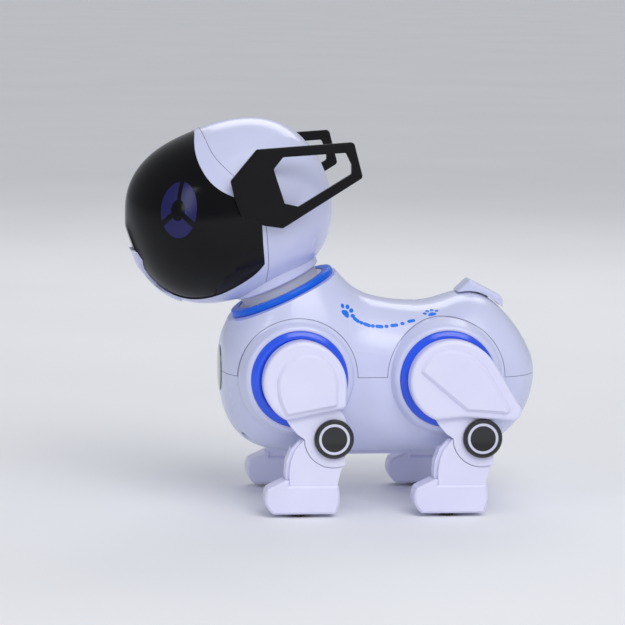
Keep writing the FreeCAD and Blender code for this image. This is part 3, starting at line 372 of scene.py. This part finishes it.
def elbow_cap(leg):
    """Black cap with a raised rim and a dished middle, and the white ring laid into it."""
    low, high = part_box("elbow_disc_" + leg)
    side = side_of(leg)
    centre = (low + high) / 2
    centre.y = 0
    outer_y = max(abs(low.y), abs(high.y))
    inner_y = min(abs(low.y), abs(high.y))
    radius = (high.x - low.x) / 2
    bead = ELBOW_PIN_R + PIN_BEAD
    flange = outer_y - CAP_THICK
    floor = outer_y - INLAY_DEPTH
    profile = [(0, inner_y), (bead, inner_y), (bead, inner_y + BEAD_WIDTH),
               (ELBOW_PIN_R, inner_y + BEAD_WIDTH + 0.1 * MM), (ELBOW_PIN_R, flange), (radius, flange),
               (radius, outer_y - CAP_EDGE), (radius - CAP_EDGE, outer_y), (INLAY_OUT, outer_y - RIM_DROP),
               (INLAY_OUT, floor), (INLAY_IN, floor), (INLAY_IN, outer_y - DISH_START)]
    for k in range(1, DISH_STEPS + 1):
        share = 1 - k / DISH_STEPS
        profile.append((INLAY_IN * share, outer_y - DISH_START - DISH_DEPTH * (1 - share ** 2)))
    work = bmesh.new()
    lathe(work, profile, centre, side)
    cap = new_object("elbow_cap_" + leg, work, SLOT_MATERIALS["black_satin"], "upper_" + leg)
    cap.data.set_sharp_from_angle(angle=math.radians(40))
    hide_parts("elbow_disc_" + leg)

    top = outer_y - 0.02 * MM
    band = rounded([(INLAY_IN, floor), (INLAY_OUT, floor), (INLAY_OUT, top), (INLAY_IN, top)], 0.25 * MM)
    work = bmesh.new()
    lathe(work, band, centre, side)
    new_object("elbow_inlay_" + leg, work, INLAY, "upper_" + leg)


# ---------------------------------------------------------------- wheels
TYRE_HALF = 4.3 * MM                    # half of the tyre's width
TYRE_EDGE_IN = 0.8 * MM                 # chamfer beside the tread
TYRE_EDGE_DOWN = 1.2 * MM
TREAD_GROOVE = 0.45 * MM                # depth of the tread's grooves
GROOVE_TOP = 0.7 * MM                   # half widths of the groove round the middle
GROOVE_FLOOR = 0.5 * MM
RIB_COUNT = 28
STEPS_PER_RIB = 4                       # the last step of each rib is the cross groove
TYRE_BORE_R = 5.9 * MM
RIM_LIP_R = 5.2 * MM
RIM_WALL_R = 5.0 * MM
RIM_WEB_IN = 1.4 * MM                   # how far the web lies inside the tyre's face
BOSS_R = 2.6 * MM
AXLE_R = 1.5 * MM


def tyre(leg, centre, side, mid_y, radius):
    """Soft tyre with cross ribs and a groove round the middle."""
    shoulder_r = radius - TYRE_EDGE_DOWN
    lanes = ((-TYRE_HALF, shoulder_r), (-TYRE_HALF + TYRE_EDGE_IN, radius), (-GROOVE_TOP, radius),
             (-GROOVE_FLOOR, radius - TREAD_GROOVE), (GROOVE_FLOOR, radius - TREAD_GROOVE),
             (GROOVE_TOP, radius), (TYRE_HALF - TYRE_EDGE_IN, radius), (TYRE_HALF, shoulder_r))
    inside = TYRE_HALF - 0.3 * MM
    steps = RIB_COUNT * STEPS_PER_RIB
    work = bmesh.new()
    rings = []
    for k in range(steps):
        angle = 2 * math.pi * k / steps
        in_groove = k % STEPS_PER_RIB == STEPS_PER_RIB - 1
        tread_r = radius - TREAD_GROOVE if in_groove else radius
        section = [(y, r if abs(y) == TYRE_HALF else min(r, tread_r)) for y, r in lanes]
        section += [(inside, TYRE_BORE_R), (-inside, TYRE_BORE_R)]
        rings.append([
            work.verts.new(centre + Vector((r * math.cos(angle), side * (mid_y + y), r * math.sin(angle))))
            for y, r in section])
    count = len(rings[0])
    for k in range(steps):
        here = rings[k]
        there = rings[(k + 1) % steps]
        for i in range(count):
            j = (i + 1) % count
            work.faces.new((here[i], here[j], there[j], there[i]))
    piece = new_object("tyre_" + leg, work, SLOT_MATERIALS["rubber_wheel"], "wheel_" + leg)
    piece.data.set_sharp_from_angle(angle=math.radians(30))
    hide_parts("wheel_" + leg)


def wheel_rim(leg, centre, side, mid_y, axle_half):
    """Dished rim inside the tyre, with a boss and an axle stub on each side."""
    web = TYRE_HALF - RIM_WEB_IN
    boss = TYRE_HALF - 0.2 * MM
    lip = TYRE_HALF - 0.4 * MM
    outer_half = [(TYRE_BORE_R, lip), (RIM_LIP_R, lip), (RIM_WALL_R, web), (BOSS_R, web), (BOSS_R, boss),
                  (AXLE_R, boss), (AXLE_R, axle_half), (0, axle_half)]
    profile = [(r, -y) for r, y in reversed(outer_half)] + outer_half
    work = bmesh.new()
    lathe(work, [(r, y + mid_y) for r, y in profile], centre, side, 64)
    piece = new_object("wheel_rim_" + leg, work, SLOT_MATERIALS["grey_gearbox"],
                       "wheel_" + leg)
    piece.data.set_sharp_from_angle(angle=math.radians(35))


def wheel(leg):
    """Tyre and rim in the place of the plain wheel."""
    low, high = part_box("wheel_" + leg)
    centre = (low + high) / 2
    mid_y = abs(centre.y)
    centre.y = 0
    tyre(leg, centre, side_of(leg), mid_y, (high.z - low.z) / 2)
    wheel_rim(leg, centre, side_of(leg), mid_y, (high.y - low.y) / 2)


# ---------------------------------------------------------------- prints on the body
CLEAR_OF_BODY = 0.2                     # metres from the middle plane, well outside the body
PRINT_THROW = 10 * MM                   # height of the drawing sheet over the surface
FILM_TOP = 0.04 * MM                    # the film's top and bottom against the surface
FILM_BOTTOM = -0.12 * MM
FILM_MESH = 0.7 * MM                    # longer edges are split, so that the film follows the surface
DASH_HALF_WIDE = 1.2 * MM
DASH_HALF_LONG = (1.3 * MM, 0.1 * MM)   # straight part of the dashes and of the dots between them


def turned(a, b, angle):
    """A point turned about the origin."""
    return (a * math.cos(angle) - b * math.sin(angle), a * math.sin(angle) + b * math.cos(angle))


def oval(x, z, half_x, half_z, lean, steps=24):
    """Outline of a leaning ellipse."""
    points = []
    for k in range(steps):
        angle = 2 * math.pi * k / steps
        px, pz = turned(half_x * math.cos(angle), half_z * math.sin(angle), lean)
        points.append((x + px, z + pz))
    return points


def paw_outlines(size):
    """Heel pad and four toes, drawn upright about (0, 0)."""
    heel = []
    steps = 36
    for k in range(steps):
        angle = 2 * math.pi * k / steps
        lobe = size * (1 + 0.10 * math.cos(3 * (angle - math.pi / 2)))
        heel.append((0.32 * lobe * math.cos(angle), 0.23 * lobe * math.sin(angle) - 0.20 * size))
    toes = []
    for x, z, half_x, half_z, lean in ((0.48, 0.08, 0.14, 0.18, 0.5), (0.18, 0.34, 0.15, 0.20, 0.15)):
        for end in (-1, 1):
            toes.append(oval(end * x * size, z * size, half_x * size, half_z * size, -end * lean))
    return [heel] + toes


def capsule(half_long, half_wide, steps=8):
    """Outline of a short dash with round ends."""
    points = []
    for end in (1, -1):
        for k in range(steps + 1):
            angle = -math.pi / 2 + math.pi * k / steps
            along = half_long + half_wide * math.cos(angle)
            points.append((end * along, end * half_wide * math.sin(angle)))
    return points


def bezier(controls, t):
    """Point and direction on a cubic."""
    a, b, c, d = (Vector(p) for p in controls)
    point = a * (1 - t) ** 3 + b * 3 * t * (1 - t) ** 2 + c * 3 * t * t * (1 - t) + d * t ** 3
    slope = (b - a) * 3 * (1 - t) ** 2 + (c - b) * 6 * t * (1 - t) + (d - c) * 3 * t * t
    return point, math.atan2(slope.y, slope.x)


def print_film(name, motifs, side, surface):
    """Thin closed films on the body's side, each motif drawn flat on the surface about its own centre."""
    work = bmesh.new()
    for x, z, turn, outlines in motifs:
        centre, normal, _, _ = surface.ray_cast(Vector((x, side * CLEAR_OF_BODY, z)), Vector((0, -side, 0)))
        along = Vector((1, 0, 0))
        along = (along - normal * along.dot(normal)).normalized()
        up = normal.cross(along) * -side
        right = along * math.cos(turn) + up * math.sin(turn)
        above = up * math.cos(turn) - along * math.sin(turn)
        sheet = Matrix((right, above, normal)).transposed().to_4x4()
        sheet.translation = centre + normal * PRINT_THROW
        for outline in outlines:
            film_patch(work, outline, sheet, surface)
    film = new_object(name, work, PRINT_INK, "torso")
    film.data.set_sharp_from_angle(angle=math.radians(50))


def film_patch(work, outline, sheet, surface):
    """One closed patch: a flat outline on a sheet above the surface, thrown down onto it."""
    flat = bmesh.new()
    flat.faces.new([flat.verts.new((a, b, 0)) for a, b in outline])
    bmesh.ops.triangulate(flat, faces=flat.faces)
    for _ in range(2):
        long_edges = [e for e in flat.edges if e.calc_length() > FILM_MESH]
        bmesh.ops.subdivide_edges(flat, edges=long_edges, cuts=1)
        bmesh.ops.triangulate(flat, faces=flat.faces)
    down = -sheet.col[2].to_3d()
    top = {}
    bottom = {}
    for vert in flat.verts:
        hit, normal, _, _ = surface.ray_cast(sheet @ vert.co, down)
        top[vert] = work.verts.new(hit + normal * FILM_TOP)
        bottom[vert] = work.verts.new(hit + normal * FILM_BOTTOM)
    for face in flat.faces:
        work.faces.new([top[v] for v in face.verts])
        work.faces.new([bottom[v] for v in reversed(face.verts)])
    for edge in flat.edges:
        if edge.is_boundary:
            a, b = edge.verts
            work.faces.new((top[a], top[b], bottom[b], bottom[a]))
    flat.free()


def body_prints():
    """Two paw prints and a sagging row of dashes on each side, between the legs."""
    shell = nodes["body_upper_shell"].data
    corners = [v.co for v in shell.vertices]
    surface = BVHTree.FromPolygons(corners, [tuple(p.vertices) for p in shell.polygons])
    front_paw = (middle_x + 14.9 * MM, axis_z + 38.3 * MM)
    rear_paw = (middle_x - 36.7 * MM, axis_z + 36.5 * MM)
    front_sag = (middle_x + 5.0 * MM, axis_z + 27.0 * MM)
    rear_sag = (middle_x - 10.0 * MM, axis_z + 26.5 * MM)
    paws = {"front": (front_paw, 8.8 * MM, math.radians(38)), "rear": (rear_paw, 7.8 * MM, math.radians(-14))}
    dash_count = 9
    first_dash = 0.17                   # shares of the way from paw to paw
    dash_span = 0.66
    for label, side in SIDES.items():
        for paw, ((x, z), size, lean) in paws.items():
            print_film(f"paw_print_{paw}_{label}", [(x, z, lean, paw_outlines(size))], side, surface)
        dashes = []
        for k in range(dash_count):
            share = first_dash + dash_span * k / (dash_count - 1)
            (x, z), turn = bezier((front_paw, front_sag, rear_sag, rear_paw), share)
            dashes.append((x, z, turn, [capsule(DASH_HALF_LONG[k % 2], DASH_HALF_WIDE)]))
        print_film("print_dashes_" + label, dashes, side, surface)


for name in LEGS:
    elbow_cap(name)
    wheel(name)
body_prints()


# ---------------------------------------------------------------- floor, lights and camera
def studio_floor():
    """Wide plain floor under the feet."""
    reach = 40.0
    work = bmesh.new()
    bmesh.ops.create_grid(work, x_segments=8, y_segments=8, size=reach)
    mesh = bpy.data.meshes.new("studio_floor")
    work.to_mesh(mesh)
    work.free()
    mesh.materials.append(paper_floor())
    floor = bpy.data.objects.new("studio_floor", mesh)
    bpy.context.scene.collection.objects.link(floor)


def soft_box(name, place, size, power, colour, target):
    """Rectangular area light turned towards a target."""
    lamp = bpy.data.lights.new(name, "AREA")
    lamp.shape = "RECTANGLE"
    lamp.size, lamp.size_y = size
    lamp.energy = power
    lamp.color = colour
    light = bpy.data.objects.new(name, lamp)
    light.location = place
    light.rotation_euler = (Vector(target) - Vector(place)).to_track_quat("-Z", "Y").to_euler()
    bpy.context.scene.collection.objects.link(light)


def studio_lights():
    """Key from the camera's side, a narrow fill, a back light, a faint sun and a pale room."""
    aim = (middle_x, 0, 0.12)
    soft_box("key_light", (-0.35, 1.30, 1.15), (1.1, 0.9), 8, (1.0, 0.99, 0.98), aim)
    soft_box("front_fill", (1.20, 1.15, 0.75), (0.3, 0.9), 2.8, (0.95, 0.97, 1.0), aim)
    soft_box("back_light", (-0.30, -1.30, 1.20), (1.2, 0.7), 5, (1.0, 1.0, 1.0), aim)
    sun = bpy.data.lights.new("room_light", "SUN")
    sun.energy = 0.7
    sun.angle = math.radians(50)
    light = bpy.data.objects.new("room_light", sun)
    light.rotation_euler = (math.radians(-32), math.radians(-12), 0)
    bpy.context.scene.collection.objects.link(light)
    world = bpy.data.worlds.new("studio_world")
    world.use_nodes = True
    world.node_tree.nodes["Background"].inputs["Color"].default_value = (0.86, 0.88, 0.93, 1)
    world.node_tree.nodes["Background"].inputs["Strength"].default_value = 0.44
    bpy.context.scene.world = world


CAMERA_YAW = math.radians(7.4)          # towards the nose from square on to the left side
CAMERA_RISE = math.radians(7.1)
CAMERA_ROLL = math.radians(0.88)
CAMERA_DISTANCE = 1.836
CAMERA_LENS = 176.5                     # on a 36 mm sensor


def photo_camera():
    """Long lens from the dog's left, a little ahead of it and above."""
    target = Vector((middle_x + 30.9 * MM, 0, 114.0 * MM))
    level_reach = math.cos(CAMERA_RISE)
    back = Vector((math.sin(CAMERA_YAW) * level_reach, math.cos(CAMERA_YAW) * level_reach,
                   math.sin(CAMERA_RISE)))
    right = (-back).cross(Vector((0, 0, 1))).normalized()
    up = back.cross(right)
    level = Matrix((right, up, back)).transposed().to_4x4()
    roll = Matrix.Rotation(CAMERA_ROLL, 4, "Z")
    lens = bpy.data.cameras.new("camera")
    lens.lens = CAMERA_LENS
    lens.sensor_width = 36.0
    lens.clip_end = 200.0
    camera = bpy.data.objects.new("camera", lens)
    camera.matrix_world = Matrix.Translation(target + back * CAMERA_DISTANCE) @ level @ roll
    bpy.context.scene.collection.objects.link(camera)
    bpy.context.scene.camera = camera


studio_floor()
studio_lights()
photo_camera()
bpy.context.scene.view_settings.view_transform = "Standard"
